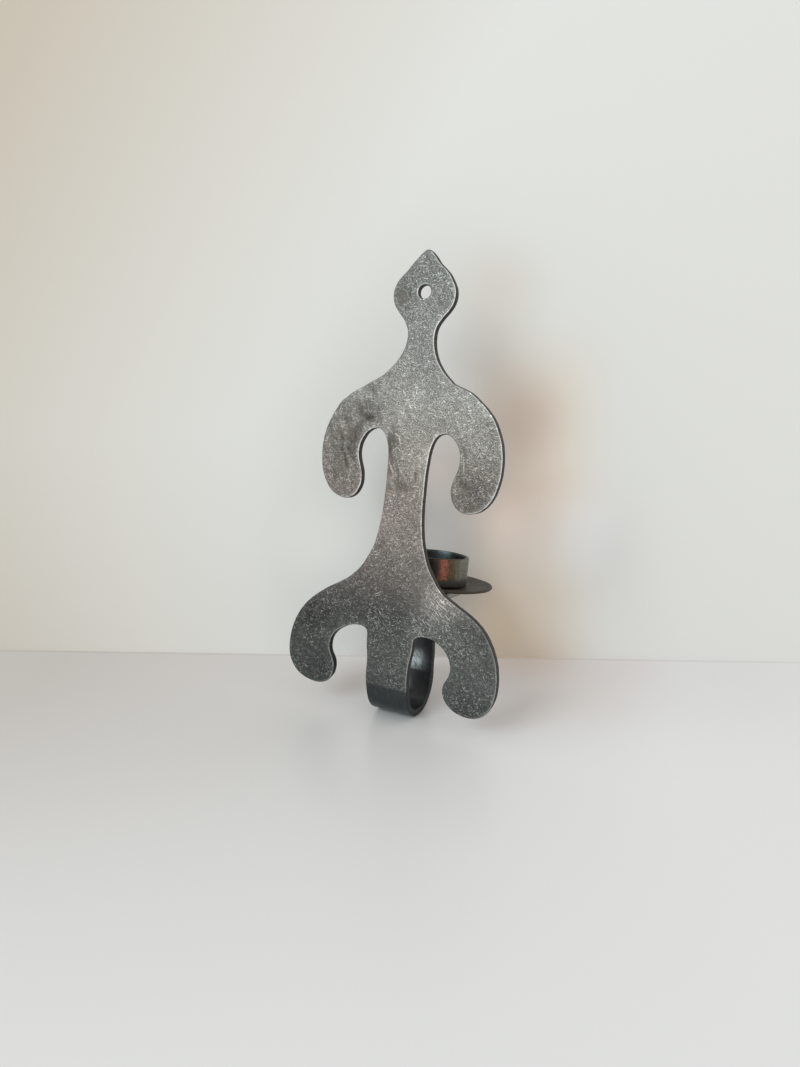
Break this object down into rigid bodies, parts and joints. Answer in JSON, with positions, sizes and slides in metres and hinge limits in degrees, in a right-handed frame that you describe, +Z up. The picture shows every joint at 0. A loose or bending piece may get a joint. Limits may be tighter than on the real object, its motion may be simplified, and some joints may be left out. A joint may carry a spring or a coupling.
{
  "type": "wall candle holder",
  "caption": "Forged iron wall sconce: a lobed plate hung by a hole, its tongue curled under into an arm with a round drip pan and candle cup.",
  "frame": {"origin": "centre of the hanging hole on the wall side of the plate", "axes": "+X across the plate, +Y square to the plate and into the wall, +Z up along the plate towards its tip"},
  "size_m": [0.0886, 0.0606, 0.1762],
  "materials": {
    "plate_iron": "hammered and wire-brushed forged iron, grey, with dark fire scale in the curl",
    "pan_iron": "dark brown oiled fire scale on thin sheet",
    "cup_iron": "brown oiled iron with copper-red heat colours, dark at its foot",
    "rivet_iron": "dark hammered iron"
  },
  "bodies": {
    "root": {"back_plate": "plate_iron", "spacer": "rivet_iron", "drip_pan": "pan_iron", "candle_cup": "cup_iron", "rivet": "rivet_iron"}
  },
  "joints": []
}
